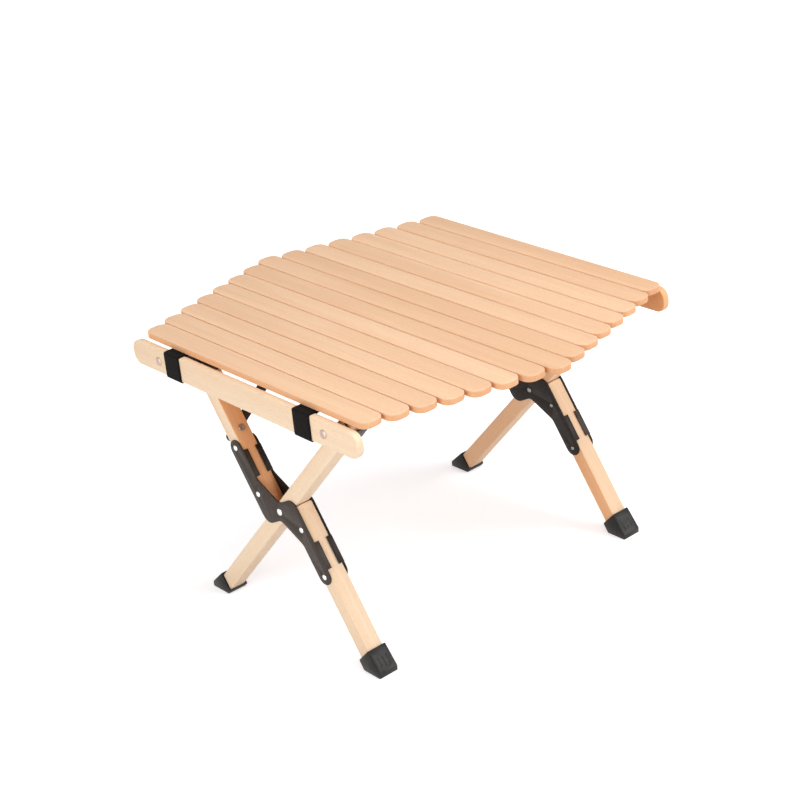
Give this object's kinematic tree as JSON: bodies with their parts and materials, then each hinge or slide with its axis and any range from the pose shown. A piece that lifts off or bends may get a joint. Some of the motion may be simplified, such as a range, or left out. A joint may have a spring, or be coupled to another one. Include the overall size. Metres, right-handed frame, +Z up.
{
  "type": "roll-top folding camp table",
  "caption": "Low folding camp table: wooden slats on two webbing straps roll up off crossed wooden legs with black steel plates, spreader bars and rubber feet.",
  "frame": {"origin": "on the floor, under the middle of the top", "axes": "+Z up, +Y along the slats towards the hooked side of the rails, +X across the slats from the near end frame to the far one"},
  "size_m": [0.6106, 0.672, 0.43],
  "materials": {
    "beech_slats": "satin lacquer",
    "beech_frame": "satin lacquer",
    "webbing": "woven",
    "black_steel": "satin",
    "bright_steel": "plated",
    "rubber": "matt"
  },
  "bodies": {
    "straight_frame": {"straight_leg_near": "beech_frame", "hinge_bracket_near": "black_steel", "foot_straight_near": "rubber", "spreader_bar_front_near": "black_steel", "straight_leg_far": "beech_frame", "hinge_bracket_far": "black_steel", "foot_straight_far": "rubber", "spreader_bar_front_far": "black_steel", "knee_rivet_front": "bright_steel"},
    "top": {"slat_01": "beech_slats", "slat_02": "beech_slats", "slat_03": "beech_slats", "slat_04": "beech_slats", "slat_05": "beech_slats", "slat_06": "beech_slats", "slat_07": "beech_slats", "slat_08": "beech_slats", "slat_09": "beech_slats", "slat_10": "beech_slats", "slat_11": "beech_slats", "slat_12": "beech_slats", "slat_13": "beech_slats", "slat_14": "beech_slats", "slat_15": "beech_slats", "strap_front": "webbing", "strap_back": "webbing", "rail_near": "beech_frame", "hinge_pin_near": "bright_steel", "hook_pin_near": "bright_steel", "rail_far": "beech_frame", "hinge_pin_far": "bright_steel", "hook_pin_far": "bright_steel"},
    "split_frame": {"split_leg_upper_near": "beech_frame", "split_leg_lower_near": "beech_frame", "cross_plate_outer_near": "black_steel", "cross_plate_inner_near": "black_steel", "plate_rivet_near_1": "bright_steel", "plate_rivet_near_2": "bright_steel", "plate_rivet_near_3": "bright_steel", "plate_rivet_near_4": "bright_steel", "cross_pivot_near": "bright_steel", "hook_plate_near": "black_steel", "hook_rivet_near": "bright_steel", "foot_split_near": "rubber", "spreader_bar_back_near": "black_steel", "split_leg_upper_far": "beech_frame", "split_leg_lower_far": "beech_frame", "cross_plate_outer_far": "black_steel", "cross_plate_inner_far": "black_steel", "plate_rivet_far_1": "bright_steel", "plate_rivet_far_2": "bright_steel", "plate_rivet_far_3": "bright_steel", "plate_rivet_far_4": "bright_steel", "cross_pivot_far": "bright_steel", "hook_plate_far": "black_steel", "hook_rivet_far": "bright_steel", "foot_split_far": "rubber", "spreader_bar_back_far": "black_steel", "knee_rivet_back": "bright_steel"}
  },
  "joints": [
    {"name": "top_lift", "type": "hinge", "parent": "straight_frame", "child": "top", "pos_m": [0, -0.18019, 0.3989], "axis": [1, 0, 0], "range_deg": [0, 90]},
    {"name": "cross_fold", "type": "hinge", "parent": "straight_frame", "child": "split_frame", "pos_m": [0, -0.005, 0.2045], "axis": [1, 0, 0], "range_deg": [0, 72]}
  ],
  "couplings": [
    {"joint": "cross_fold", "follows": "top_lift", "ratio": 0.8}
  ]
}
